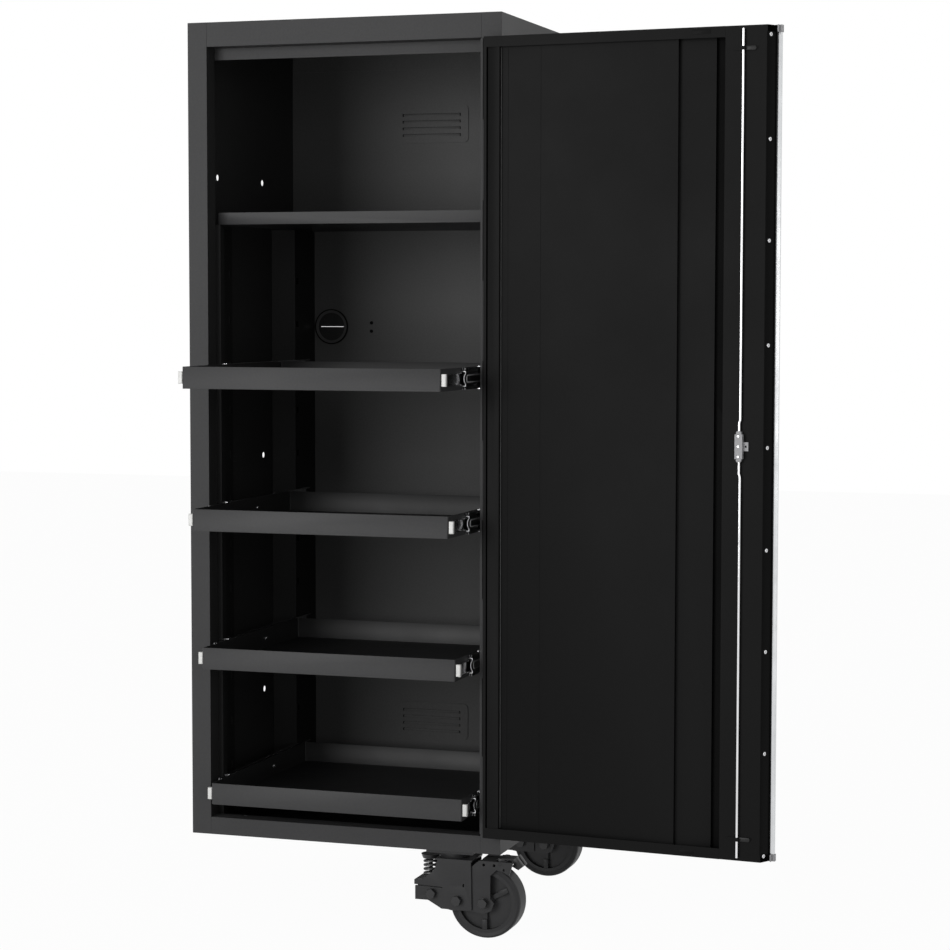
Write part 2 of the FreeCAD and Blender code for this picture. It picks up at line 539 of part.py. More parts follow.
mount = box(-MOUNT_X, MOUNT_X, -MOUNT_Y, MOUNT_Y, -5, 0)
mount = mount.cut([rod((x, y, -6), (0, 0, 1), 4.5, 7) for x in (-38, 38) for y in (-26, 26)])
race_cone = Part.makeCone(34, 30, 11, V(0, 0, -5), V(0, 0, -1))
kingpin = rod((0, 0, RACE_BOTTOM), (0, 0, -1), KINGPIN_R, 4.2)
nut = rod((0, 0, YOKE_TOP_BOTTOM - 0.1), (0, 0, -1), 11, 5)
mount = fuse([mount, race_cone, kingpin, nut])

yoke_top = box(-30, 48, -YOKE_Y[1], YOKE_Y[1], YOKE_TOP_BOTTOM, RACE_BOTTOM - 0.1)
yoke_seat = box(-76, -34, -YOKE_Y[1], YOKE_Y[1], SPRING_SEAT_Z - 4, SPRING_SEAT_Z)
yoke = fuse([yoke_top, yoke_seat] + side_plates(yoke_outline, YOKE_Y))
yoke = yoke.cut([rod((0, 0, -30), (0, 0, 1), KINGPIN_R + RUN, 20), rod((SPRING_X, 0, -80), (0, 0, 1), 5, 30),
                 across(PIVOT, AXLE_R + RUN, -40, 40), across(SPRING_BOLT, 7.5, -40, 40),
                 box(28.5, 31.5, -40, 40, -72, -66)])

arm = side_plates(arm_outline, ARM_Y)
arm_holes = [across(PIVOT, AXLE_R, -40, 40), across(AXLE, AXLE_R, -40, 40),
             across(SPRING_BOLT, 5, -40, 40), across(PEDAL_PIN, 3 + RUN, -40, 40),
             across((72, -24), 3, -40, 40), across((94, -24), 3, -40, 40), across((114, -32), 3, -40, 40)]
bridge = box(62, 90, -ARM_Y[1], ARM_Y[1], -21, -18)
arm = fuse(arm + [bridge]).cut(arm_holes)

axle_bolt = [across(AXLE, AXLE_R, -ARM_Y[1], ARM_Y[1])]
spring_bolt = [across(SPRING_BOLT, 5, -YOKE_Y[1] - 1, YOKE_Y[1] + 1)]
pivot_bolts = []
for sign in (1, -1):
    near = ARM_Y[1] if sign > 0 else -ARM_Y[1] - 2
    axle_bolt.append(across(AXLE, 11, near, near + 2))
    near = ARM_Y[1] + 2 if sign > 0 else -ARM_Y[1] - 8
    axle_bolt.append(hexagon(AXLE, 9, near, near + 6))
    near = YOKE_Y[1] + 0.5 if sign > 0 else -YOKE_Y[1] - 6.5
    spring_bolt.append(hexagon(SPRING_BOLT, 9.5, near, near + 6))
    near = ARM_Y[0] if sign > 0 else -YOKE_Y[1] - 1
    stub = across(PIVOT, AXLE_R, near, near + YOKE_Y[1] + 1 - ARM_Y[0])
    near = YOKE_Y[1] + 0.5 if sign > 0 else -YOKE_Y[1] - 6.5
    pivot_bolts.append(fuse([stub, hexagon(PIVOT, 9, near, near + 6)]))
axle_bolt = fuse(axle_bolt)
spring_bolt = fuse(spring_bolt)

rim = Part.makeCylinder(64, 2 * WHEEL_HALF - 4, V(0, -WHEEL_HALF + 2, 0), V(0, 1, 0))
for y0, y1 in ((-WHEEL_HALF, -13), (13, WHEEL_HALF)):
    rim = rim.cut(Part.makeCylinder(57, y1 - y0, V(0, y0, 0), V(0, 1, 0)))
hub_core = Part.makeCylinder(19, 2 * ARM_Y[0] - 0.6, V(0, -ARM_Y[0] + 0.3, 0), V(0, 1, 0))
ribs = []
for index in range(3):
    rib = box(0, 58, -WHEEL_HALF + 5, WHEEL_HALF - 5, -4.5, 4.5)
    rib.rotate(V(0, 0, 0), V(0, 1, 0), 90 + 120 * index)
    ribs.append(rib)
hub = fuse([rim, hub_core] + ribs).cut(Part.makeCylinder(AXLE_R + RUN, 80, V(0, -40, 0), V(0, 1, 0)))
tread_profile = [(64, -WHEEL_HALF + 2), (70, -WHEEL_HALF), (73.6, -WHEEL_HALF + 1.5), (WHEEL_R, -WHEEL_HALF + 6),
                 (WHEEL_R, WHEEL_HALF - 6), (73.6, WHEEL_HALF - 1.5), (70, WHEEL_HALF), (64, WHEEL_HALF - 2)]
tread_ring = [V(r, y, 0) for r, y in tread_profile]
tread = Part.Face(Part.makePolygon(tread_ring + tread_ring[:1])).revolve(V(0, 0, 0), V(0, 1, 0), 360)

turns_height = SPRING_CUP_Z - SPRING_SEAT_Z - 2 * SPRING_WIRE_R
helix = Part.makeHelix(turns_height / SPRING_TURNS, turns_height, SPRING_R)
wire_ring = Part.Wire(Part.Circle(V(SPRING_R, 0, 0), V(0, 1, 0), SPRING_WIRE_R).toShape())
coil = Part.Wire(helix).makePipeShell([wire_ring], True, True)
coil.translate(V(SPRING_X, 0, SPRING_SEAT_Z + SPRING_WIRE_R))
spring_rod = fuse([rod((SPRING_X, 0, SPRING_CUP_Z + 3), (0, 0, -1), 4, 70),
                   Part.makeCone(16.5, 20, 9, V(SPRING_X, 0, SPRING_CUP_Z), V(0, 0, 1)),
                   box(SPRING_X - 4, SPRING_BOLT[0] + 7, -8, 8, SPRING_BOLT[1] - 8, SPRING_BOLT[1] + 8)])
eye_shift = 0.5
spring_rod = spring_rod.cut([across((SPRING_BOLT[0] + way * eye_shift, SPRING_BOLT[1]), 5 + RUN, -40, 40)
                             for way in (-1, 1)])
spring_rod = spring_rod.cut(box(SPRING_BOLT[0] - eye_shift, SPRING_BOLT[0] + eye_shift, -40, 40,
                                SPRING_BOLT[1] - 5 - RUN, SPRING_BOLT[1] + 5 + RUN))

pedal_path = [(98, -12), (102, -9), (126, -7), (138, -14), (151, -34), (142, -48)]
pedal = folded(pedal_path, -3, "xz", -22, 22)
ear = [(100, -13), (104, -26), (111, -26), (126, -11)]
pedal = fuse([pedal] + side_plates(ear, (18, 22)) + [across(PEDAL_PIN, 3, -ARM_Y[1], ARM_Y[1])])

front_x = WIDTH - CASTER_FROM_RIGHT
places = {"front": (front_x, FRONT_CASTER_Y), "rear": (front_x - REAR_CASTER_IN, DEPTH - REAR_CASTER_GAP)}
for name, (x, y) in places.items():
    pieces = {"mount_plate": [mount], "yoke": [yoke], "swing_arm": [arm], "spring": [coil],
              "arm_bolts": [axle_bolt, spring_bolt] + pivot_bolts, "spring_rod": [spring_rod],
              "brake_pedal": [pedal]}
    for piece, shapes in pieces.items():
        save(name + "_" + piece, [s.translated(V(x, y, 0)) for s in shapes])
    axle_place = V(x + AXLE[0], y, AXLE[1])
    save(name + "_wheel_hub", hub.translated(axle_place))
    save(name + "_wheel_tread", tread.translated(axle_place))
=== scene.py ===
import json
from math import cos, radians, sin

import bpy
from mathutils import Matrix, Vector


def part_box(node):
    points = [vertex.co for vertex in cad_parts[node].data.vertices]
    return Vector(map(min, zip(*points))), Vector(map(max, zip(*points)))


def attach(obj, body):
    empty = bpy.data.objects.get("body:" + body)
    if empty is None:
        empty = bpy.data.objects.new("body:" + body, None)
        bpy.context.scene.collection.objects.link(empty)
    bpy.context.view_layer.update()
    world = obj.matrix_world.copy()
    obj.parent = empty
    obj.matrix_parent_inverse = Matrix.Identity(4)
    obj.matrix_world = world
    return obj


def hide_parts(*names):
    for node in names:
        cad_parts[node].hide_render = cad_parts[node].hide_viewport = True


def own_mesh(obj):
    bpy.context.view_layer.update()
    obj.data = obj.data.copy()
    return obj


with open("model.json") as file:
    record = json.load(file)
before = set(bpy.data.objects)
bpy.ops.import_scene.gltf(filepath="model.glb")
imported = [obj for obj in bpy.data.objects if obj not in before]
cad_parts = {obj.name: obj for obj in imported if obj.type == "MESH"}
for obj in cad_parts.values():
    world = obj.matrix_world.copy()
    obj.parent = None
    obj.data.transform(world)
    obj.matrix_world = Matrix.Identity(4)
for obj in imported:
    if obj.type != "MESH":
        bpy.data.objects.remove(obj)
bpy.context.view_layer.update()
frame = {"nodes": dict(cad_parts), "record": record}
nodes = frame["nodes"]
record = frame["record"]
body_of_node = {node: body for body, names in record["behaviour"]["bodies"].items() for node in names}
slot_of_node = {part["node"]: part["material_slot"] for part in record["subparts"]}

# ---- main sizes and places, in millimetres from the cabinet's front left bottom corner ----
ORIGIN_Y = 266.0
ORIGIN_Z = 814.5
CABINET_WIDTH = 680.0
BACK_FACE = 566.0
HINGE_X = 646.0
HINGE_Y = -4.0
DOOR_EDGE = 635.0
DOOR_OPEN = radians(175.68)
# each tray's number, bottom and how far its front stands out
TRAYS = ((1, 942.5, 180.0), (2, 652.3, 135.0), (3, 363.2, 90.4), (4, 74.0, 48.7))
TRAY_SHUT_DEPTH = 44.0
SLIDE_RISE = 22.2
# each caster's name, and its swivel's x and y
CASTERS = (("front", 571.0, 37.0), ("rear", 533.0, 603.0))
AXLE_X = 72.0
AXLE_Z = -102.0
FLOOR_Z = -177.05


def at(x, y, z):
    """A point in millimetres from the cabinet's corner, in the row frame."""
    return Vector((x, y - ORIGIN_Y, z - ORIGIN_Z)) / 1000


def from_corner(point):
    """The millimetres from the cabinet's corner of a point in the row frame."""
    return Vector((point[0] * 1000, point[1] * 1000 + ORIGIN_Y, point[2] * 1000 + ORIGIN_Z))


CORNER = at(0, 0, 0)


def turned_about(point, angle, axis):
    """A turn about an axis through a point."""
    return Matrix.Translation(point) @ Matrix.Rotation(angle, 4, axis) @ Matrix.Translation(-point)


def on_door(u, y, z):
    """A point on the open door: u from its hinge edge, and y and z as when it is shut, in millimetres."""
    side, deep = DOOR_EDGE - u - HINGE_X, y - HINGE_Y
    x = HINGE_X + side * cos(DOOR_OPEN) - deep * sin(DOOR_OPEN)
    return at(x, HINGE_Y + side * sin(DOOR_OPEN) + deep * cos(DOOR_OPEN), z)


DOOR_TURN = turned_about(at(HINGE_X, HINGE_Y, ORIGIN_Z), DOOR_OPEN, "Z")
DOOR_INWARD = Vector((-sin(DOOR_OPEN), cos(DOOR_OPEN), 0))
# the way that the slanted strip along the door's free edge faces
STRIP_FACING = Matrix.Rotation(DOOR_OPEN, 3, "Z") @ Vector((-26.2, 11.4, 0)).normalized()


# ---- shared effects ----
def new_group(name, inputs, outputs):
    tree = bpy.data.node_groups.new(name, "ShaderNodeTree")
    for label, kind, value in inputs:
        socket = tree.interface.new_socket(label, in_out="INPUT", socket_type="NodeSocket" + kind)
        if value is not None:
            socket.default_value = value
    for label, kind in outputs:
        tree.interface.new_socket(label, in_out="OUTPUT", socket_type="NodeSocket" + kind)
    return tree, tree.nodes.new("NodeGroupInput"), tree.nodes.new("NodeGroupOutput")


def feed(tree, value, socket):
    """Links another node's socket to this one, or sets it to a plain value."""
    if isinstance(value, bpy.types.NodeSocket):
        tree.links.new(value, socket)
    else:
        socket.default_value = value


def add(tree, kind, **values):
    """A new shader node with some of its sockets set by name."""
    node = tree.nodes.new("ShaderNode" + kind)
    for name, value in values.items():
        feed(tree, value, node.inputs[name.replace("_", " ")])
    return node


def combined(tree, operation, *values):
    """A math node's result on sockets or numbers."""
    node = tree.nodes.new("ShaderNodeMath")
    node.operation = operation
    for value, socket in zip(values, node.inputs):
        feed(tree, value, socket)
    return node.outputs[0]


def vector_result(tree, operation, value, second, factor):
    """A vector math node's result on a vector, with a factor in its second socket of that name or number."""
    node = tree.nodes.new("ShaderNodeVectorMath")
    node.operation = operation
    feed(tree, value, node.inputs[0])
    feed(tree, factor, node.inputs[second])
    return node.outputs["Vector"]


def noise(tree, place, scale, detail, roughness):
    return add(tree, "TexNoise", Vector=place, Scale=scale, Detail=detail, Roughness=roughness).outputs["Fac"]


def spread(tree, value, low, high):
    """Maps the middle stretch of a noise onto low to high."""
    mapped = add(tree, "MapRange", Value=value, From_Min=0.3, From_Max=0.7, To_Min=low, To_Max=high)
    return mapped.outputs["Result"]


GROUP_RESULTS = [("Colour", "Color"), ("Roughness", "Float"), ("Height", "Float")]


def make_coat_group():
    """Baked powder coat: a broad cloud and a small speck in the colour, and a fine orange peel as height."""
    inputs = [("Colour", "Color", (0.07, 0.07, 0.07, 1)), ("Roughness", "Float", 0.4),
              ("Cloud", "Float", 0.08)]
    tree, start, end = new_group("baked_coat", inputs, GROUP_RESULTS)
    place = add(tree, "TexCoord").outputs["Object"]
    peel = noise(tree, place, 620.0, 2.0, 0.5)
    cloud = noise(tree, place, 3.2, 4.0, 0.6)
    speck = noise(tree, place, 240.0, 1.0, 0.4)
    darkest = combined(tree, "SUBTRACT", 1.0, start.outputs["Cloud"])
    lightest = combined(tree, "ADD", 1.0, start.outputs["Cloud"])
    broad = spread(tree, cloud, darkest, lightest)
    shade = combined(tree, "MULTIPLY", broad, spread(tree, speck, 0.95, 1.05))
    colour = vector_result(tree, "SCALE", start.outputs["Colour"], "Scale", shade)
    rough = combined(tree, "MULTIPLY", start.outputs["Roughness"], spread(tree, cloud, 0.9, 1.1))
    feed(tree, colour, end.inputs["Colour"])
    feed(tree, rough, end.inputs["Roughness"])
    feed(tree, peel, end.inputs["Height"])
    return tree


def make_streak_group():
    """Drawn or rolled metal: streaks along its length and a broad smear, in the colour and the roughness."""
    inputs = [("Colour", "Color", (0.5, 0.5, 0.5, 1)), ("Roughness", "Float", 0.25),
              ("Along", "Vector", None)]
    tree, start, end = new_group("drawn_streaks", inputs, GROUP_RESULTS)
    place = add(tree, "TexCoord").outputs["Object"]
    stretched = vector_result(tree, "MULTIPLY", place, 1, start.outputs["Along"])
    streak = noise(tree, stretched, 1.0, 3.0, 0.6)
    smear = noise(tree, place, 14.0, 3.0, 0.6)
    shade = combined(tree, "MULTIPLY", spread(tree, streak, 0.88, 1.08), spread(tree, smear, 0.92, 1.05))
    colour = vector_result(tree, "SCALE", start.outputs["Colour"], "Scale", shade)
    rough = combined(tree, "MULTIPLY", start.outputs["Roughness"], spread(tree, smear, 0.8, 1.25))
    feed(tree, colour, end.inputs["Colour"])
    feed(tree, rough, end.inputs["Roughness"])
    feed(tree, streak, end.inputs["Height"])
    return tree


COAT = make_coat_group()
STREAKS = make_streak_group()
BUMP_DISTANCE = 0.0004


def finish_with(name, group, colour, bump, metallic, specular, **inputs):
    """A material on one of the shared effects; the inputs are the group's own."""
    material = bpy.data.materials.new(name)
    material.use_nodes = True
    material.diffuse_color = (*colour, 1)
    tree = material.node_tree
    effect = tree.nodes.new("ShaderNodeGroup")
    effect.node_tree = group
    effect.inputs["Colour"].default_value = (*colour, 1)
    for label, value in inputs.items():
        effect.inputs[label].default_value = value
    surface = add(tree, "Bump", Strength=bump, Distance=BUMP_DISTANCE, Height=effect.outputs["Height"])
    shader = tree.nodes["Principled BSDF"]
    for label, value in (("Metallic", metallic), ("Specular IOR Level", specular),
                         ("Base Color", effect.outputs["Colour"]), ("Roughness", effect.outputs["Roughness"]),
                         ("Normal", surface.outputs["Normal"])):
        feed(tree, value, shader.inputs[label])
    return material


def coated(name, colour, roughness, specular=0.5, bump=0.1, cloud=0.08):
    return finish_with(name, COAT, colour, bump, 0.0, specular, Roughness=roughness, Cloud=cloud)


def drawn(name, colour, roughness, along, bump=0.04, metallic=1.0):
    return finish_with(name, STREAKS, colour, bump, metallic, 0.5, Roughness=roughness, Along=along)


def grey(value):
    return (value, value, value)


outer_coat = coated("charcoal_outer_coat", (0.050, 0.050, 0.051), 0.5, 0.16, bump=0.12)
# painted light: a lighter copy of the charcoal coat, for the back wall, the louvre blades and the grommet
# ring
back_wall_light_coat = coated("painted_light_back_coat", grey(0.085), 0.47, 0.13)
# painted shade: a darker copy of the charcoal coat for the cabinet's inside walls and floor
wall_shade_coat = coated("painted_wall_shade_coat", grey(0.028), 0.5, 0.15)
# painted shade: the uprights inside the cabinet, darker than their coat because they stand in shade
upright_shade_coat = coated("painted_upright_shade_coat", grey(0.014), 0.5, 0.12)
# painted shade: the inside of the door, darker than the charcoal coat because it lies in shade
door_shade_coat = coated("painted_door_shade_coat", grey(0.0058), 0.5, 0.07)
# painted shade: the slanted strip along the door's free edge, which lies in shade
strip_shade_coat = coated("painted_edge_strip_shade", grey(0.0035), 0.5, 0.05)
# painted shade, near black: slot floor, seams, creases, slide mouths, louvre baffles and grommet lip; also
# the black hole plugs
shade_black_coat = coated("painted_shade_black_coat", grey(0.002), 0.6, 0.05)
# painted highlight: a light line along the door liner's step edge
fold_highlight_coat = coated("painted_fold_highlight", grey(0.16), 0.4, 0.4)
tray_coat = coated("charcoal_tray_coat", (0.042, 0.042, 0.043), 0.45, 0.2, bump=0.12)
# painted shade: the insides of the trays
tray_shade_lining = coated("painted_tray_shade", (0.017, 0.017, 0.0175), 0.45, 0.3, bump=0.12)
caster_coat = coated("charcoal_caster_coat", (0.030, 0.030, 0.031), 0.38, 0.22)
dark_bolt = coated("blackened_bolt", (0.022, 0.022, 0.023), 0.35, 0.35)
black_rubber = coated("black_rubber", grey(0.006), 0.6, 0.2, bump=0.2)
black_nylon = coated("black_nylon", grey(0.008), 0.45, 0.3)
white_nylon = coated("white_nylon", (0.83, 0.83, 0.81), 0.4, bump=0.05, cloud=0.03)
grey_plastic = coated("grey_moulded_plastic", (0.36, 0.36, 0.37), 0.45)
wheel_plastic = coated("dark_wheel_plastic", (0.028, 0.028, 0.029), 0.4, 0.2)
tread_rubber = coated("dark_tread_rubber", (0.026, 0.026, 0.027), 0.5, 0.2, bump=0.15)

# how closely the streaks lie along X, Y and Z
ALONG_Y = (900.0, 6.0, 900.0)
ALONG_Z = (900.0, 900.0, 5.0)
ALL_WAYS = (400.0, 400.0, 400.0)
zinc = drawn("bright_zinc", (0.62, 0.62, 0.63), 0.22, ALONG_Y)
dull_zinc = drawn("dull_zinc", (0.22, 0.22, 0.225), 0.3, ALONG_Y)
# painted sheen: a light, mostly diffuse grey that stands in for the highlights of the curved cage
cage_steel_painted_sheen = drawn("cage_steel_painted_sheen", (0.5, 0.5, 0.51), 0.35, ALL_WAYS, metallic=0.15)
polished = drawn("polished_rod", (0.8, 0.8, 0.81), 0.12, ALONG_Z, bump=0.02)
handle_metal = drawn("drawn_handle", (0.66, 0.67, 0.68), 0.25, ALONG_Z)
spring_steel = drawn("spring_wire", grey(0.12), 0.35, ALL_WAYS, bump=0.03, metallic=0.8)

MATERIAL_OF_SLOT = {
    "cabinet_paint": outer_coat, "tray_paint": tray_coat, "caster_paint": caster_coat, "slide_steel": zinc,
    "bright_steel": polished, "spring_steel": spring_steel, "handle_metal": handle_metal,
    "grey_plastic": grey_plastic, "black_plastic": black_nylon, "black_rubber": black_rubber,
    "white_plastic": white_nylon, "wheel_plastic": wheel_plastic, "wheel_tread": tread_rubber}
NODES_WITH_THEIR_OWN = (
    (back_wall_light_coat, ("back_panel",)), (wall_shade_coat, ("floor_panel",)), (tray_coat, ("shelf",)),
    (upright_shade_coat, ("left_uprights", "right_uprights")),
    (door_shade_coat, ("door_skin", "door_liner", "latch_channel", "hinge_door_leaf", "rod_guides")),
    (dull_zinc, ("slide_middle_1", "slide_middle_2", "slide_middle_3", "slide_middle_4")),
    (dark_bolt, ("front_spring_rod", "rear_spring_rod", "front_arm_bolts", "rear_arm_bolts")))
MATERIAL_OF_NODE = {node: coat for coat, names in NODES_WITH_THEIR_OWN for node in names}


def finish_of(node):
    return MATERIAL_OF_NODE.get(node, MATERIAL_OF_SLOT[slot_of_node[node]])


def paint(piece, material):
    if not piece.material_slots:
        piece.data.materials.append(material)
    for place in piece.material_slots:
        place.link = "OBJECT"
        place.material = material


for name, node in nodes.items():
    paint(node, finish_of(name))


# ---- modelling helpers ----
def deselect():
    for thing in bpy.context.selected_objects:
        thing.select_set(False)


def activate(piece):
    deselect()
    piece.select_set(True)
    bpy.context.view_layer.objects.active = piece


def settle(piece, body, material, angle=35):
    """Puts a piece's place into its mesh, smooths it, and gives it its body and finish."""
    activate(piece)
    bpy.ops.object.transform_apply(location=True, rotation=True, scale=True)
    bpy.ops.object.shade_smooth_by_angle(angle=radians(angle))
    paint(piece, material)
    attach(piece, body)
    return piece


def round_edges(piece, width, segments=2, angle=40, hardened=False):
    """Rounds the sharp edges of a piece, which is the active one, by a width in millimetres."""
    rounding = piece.modifiers.new("rounding", "BEVEL")
    rounding.width = width / 1000
    rounding.segments = segments
    rounding.limit_method = "ANGLE"
    rounding.angle_limit = radians(angle)
    rounding.harden_normals = hardened
    bpy.ops.object.modifier_apply(modifier="rounding")


def copy_of(model, name, move):
    """A copy of a model with its own mesh, moved by a matrix."""
    piece = model.copy()
    piece.data = model.data.copy()
    piece.name = name
    bpy.context.collection.objects.link(piece)
    piece.matrix_world = move @ model.matrix_world
    return piece


def softened(node, width, merged=True):
    """A copy of a solid with its edges rounded, which stands for it. A sheet with holes isn't merged."""
    source = nodes[node]
    piece = source.copy()
    piece.data = source.data.copy()
    piece.name = node + "_rounded"
    bpy.context.collection.objects.link(piece)
    place = piece.matrix_world.copy()
    piece.parent = None
    piece.matrix_world = place
    activate(piece)
    bpy.ops.object.mode_set(mode="EDIT")
    bpy.ops.mesh.select_all(action="SELECT")
    bpy.ops.mesh.remove_doubles(threshold=0.00001)
    if merged:
        bpy.ops.mesh.dissolve_limited(angle_limit=radians(0.5))
    bpy.ops.object.mode_set(mode="OBJECT")
    round_edges(piece, width, hardened=merged)
    settle(piece, body_of_node[node], finish_of(node), 30 if merged else 15)
    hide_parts(node)
    return piece


def line_with(piece, coat, chosen):
    """Gives a second coat to the faces that are chosen by their middle, in millimetres, and their normal."""
    piece.data.materials.append(coat)
    place = piece.material_slots[-1]
    place.link = "OBJECT"
    place.material = coat
    for face in piece.data.polygons:
        if chosen(from_corner(face.center), face.normal):
            face.material_index = len(piece.material_slots) - 1


def pick(piece, kind, chosen):
    """Selects the chosen faces or edges of a piece and leaves it in edit mode."""
    bpy.ops.object.mode_set(mode="EDIT")
    bpy.ops.mesh.select_mode(type=kind)
    bpy.ops.mesh.select_all(action="DESELECT")
    bpy.ops.object.mode_set(mode="OBJECT")
    for item in piece.data.polygons if kind == "FACE" else piece.data.edges:
        item.select = chosen(item)
    bpy.ops.object.mode_set(mode="EDIT")


def inset_steps(steps):
    """Insets the picked faces again and again, each time by a width and a depth in metres."""
    for wide, deep in steps:
        bpy.ops.mesh.inset(thickness=wide, depth=deep)
    bpy.ops.object.mode_set(mode="OBJECT")


def block(name, low, high, edge=0.4, corner=0.0, along=1):
    """A solid block between two corners in millimetres; its edges along one axis may take a larger radius."""
    low, high = Vector(low), Vector(high)
    deselect()
    bpy.ops.mesh.primitive_cube_add(size=1, location=at(*((low + high) / 2)))
    piece = bpy.context.object
    piece.name = name
    piece.scale = (high - low) / 1000
    bpy.ops.object.transform_apply(location=False, rotation=False, scale=True)

    def runs_along(line):
        start, end = (piece.data.vertices[index].co for index in line.vertices)
        return abs((end - start)[along]) > 0.99 * (end - start).length

    if corner:
        pick(piece, "EDGE", runs_along)
        bpy.ops.mesh.bevel(offset=corner / 1000, segments=6)
        bpy.ops.object.mode_set(mode="OBJECT")
    round_edges(piece, edge)
    return piece


def upright_disc(name, radius, thickness, place, corners, turn=0.0):
    """A disc or pin with its axis along Y, in millimetres, at a place in the row frame."""
    deselect()
    bpy.ops.mesh.primitive_cylinder_add(vertices=corners, radius=radius / 1000, depth=thickness / 1000,
                                        rotation=(radians(90), radians(turn), 0), location=place)
    bpy.context.object.name = name
    return bpy.context.object


def cut_away(piece, cutter):
    """Takes the cutter's shape out of the piece and throws the cutter away."""
    activate(piece)
    hole = piece.modifiers.new("cut", "BOOLEAN")
    hole.operation = "DIFFERENCE"
    hole.solver = "EXACT"
    hole.object = cutter
    bpy.ops.object.modifier_apply(modifier="cut")
    bpy.data.objects.remove(cutter)


def joined(pieces, name):
    activate(pieces[0])
    for piece in pieces:
        piece.select_set(True)
    bpy.ops.object.join()
    bpy.context.object.name = name
    return bpy.context.object


# ---- rounded copies of the sheet work ----
SHEET_EDGE = 0.5
HANDLE_EDGE = 0.8
# a side panel's faces that lie deeper than this get the inside walls' painted shade, a darker copy of its
# coat
SKIN = 0.4
# a tray's inner faces below its rim and further in than its wall get painted shade, a darker copy of the
# tray's coat
TRAY_RIM = 43.0
TRAY_WALL = 0.7
# how deep the inside of the door's skin lies behind its outer face
SKIN_INSIDE = (0.9, 1.5)

left_side = softened("left_side_panel", SHEET_EDGE, merged=False)
line_with(left_side, wall_shade_coat, lambda spot, way: spot.x > SKIN and spot.y > SKIN)
right_side = softened("right_side_panel", SHEET_EDGE, merged=False)
line_with(right_side, wall_shade_coat, lambda spot, way: spot.x < CABINET_WIDTH - SKIN and spot.y > SKIN)
for node in ("shelf", "door_liner"):
    softened(node, SHEET_EDGE)
for node in ("top_rail", "bottom_rail"):
    softened(node, SHEET_EDGE, merged=False)
latch_channel = softened("latch_channel", SHEET_EDGE, merged=False)
# the slanted strip's faces get painted shade
line_with(latch_channel, strip_shade_coat, lambda spot, way: way.dot(STRIP_FACING) > 0.95)

for number, bottom, out in TRAYS:
    tray = softened("tray_%d" % number, SHEET_EDGE)
    low, high = (from_corner(corner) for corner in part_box("tray_%d" % number))
    line_with(tray, tray_shade_lining, lambda spot, way: way.z > -0.5 and spot.z < bottom + TRAY_RIM and
              low.x + TRAY_WALL < spot.x < high.x - TRAY_WALL and
              low.y + TRAY_WALL < spot.y < high.y - TRAY_WALL)

door_face = on_door(0, 0, 0)
skin = softened("door_skin", SHEET_EDGE, merged=False)
# the slot floor on the inside of the skin gets painted shade; the outer face gets the charcoal coat
line_with(skin, shade_black_coat, lambda spot, way: way.dot(DOOR_INWARD) > 0.5 and
          SKIN_INSIDE[0] < (at(*spot) - door_face).dot(DOOR_INWARD) * 1000 < SKIN_INSIDE[1])
line_with(skin, outer_coat, lambda spot, way: way.dot(DOOR_INWARD) < -0.5)
for node in ("door_handle", "handle_caps"):
    softened(node, HANDLE_EDGE)
for part in ("yoke", "swing_arm", "arm_bolts"):
    for end in ("front", "rear"):
        softened("%s_%s" % (end, part), SHEET_EDGE, merged=False)


# ---- screws ----
SCREW_CORNERS = 20
PLUG_RADIUS = 3.7
SCREW_RADIUS = 4.0
CASE_SCREW_RADIUS = 2.4


def pan_head(radius):
    """A low round head with a round recess, facing up."""
    deselect()
    bpy.ops.mesh.primitive_cylinder_add(vertices=SCREW_CORNERS, radius=radius / 1000,
                                        depth=radius * 0.7 / 1000)
    model = bpy.context.object
    pick(model, "FACE", lambda face: face.normal.z > 0.9)
    bpy.ops.mesh.bevel(offset=radius * 0.22 / 1000, segments=3)
    pick(model, "FACE", lambda face: face.normal.z > 0.999 and face.area > (radius / 1000) ** 2)
    bpy.ops.mesh.inset(thickness=radius * 0.4 / 1000)
    bpy.ops.mesh.extrude_region_move(TRANSFORM_OT_translate={"value": (0, 0, -radius * 0.35 / 1000)})
    bpy.ops.object.mode_set(mode="OBJECT")
    return model


def set_screw(model, radius, name, place, way, body, material):
    """Seats a copy of a head on a place, facing a way."""
    turn = Vector((0, 0, 1)).rotation_difference(Vector(way)).to_matrix().to_4x4()
    middle = place + Vector(way).normalized() * radius * 0.34 / 1000
    settle(copy_of(model, name, Matrix.Translation(middle) @ turn), body, material)


# ---- back wall: cable grommet, hole plugs and louvre blades ----
PLUG_X = 192.0
PLUG_ROWS = (1070.0, 1051.0)
GROMMET_X = 95.0
GROMMET_Z = 1061.0
GROMMET_RADIUS = 40.0
GROMMET_RING = (31.6, 37.2)
GROMMET_THICKNESS = 3.0
# width and depth of each inset, in metres
FRONT_STEPS = ((0.0026, 0), (0.0004, -0.0007), (0.0048, 0), (0.0009, -0.0007))
BACK_STEPS = ((0.010, 0), (0.0001, 0.006), (0.0016, 0), (0.0001, -0.0068))
# each slit's turn, half length and half width
SLITS = ((0, 29.7, 0.42), (46, 30.0, 0.1), (-46, 30.0, 0.06))


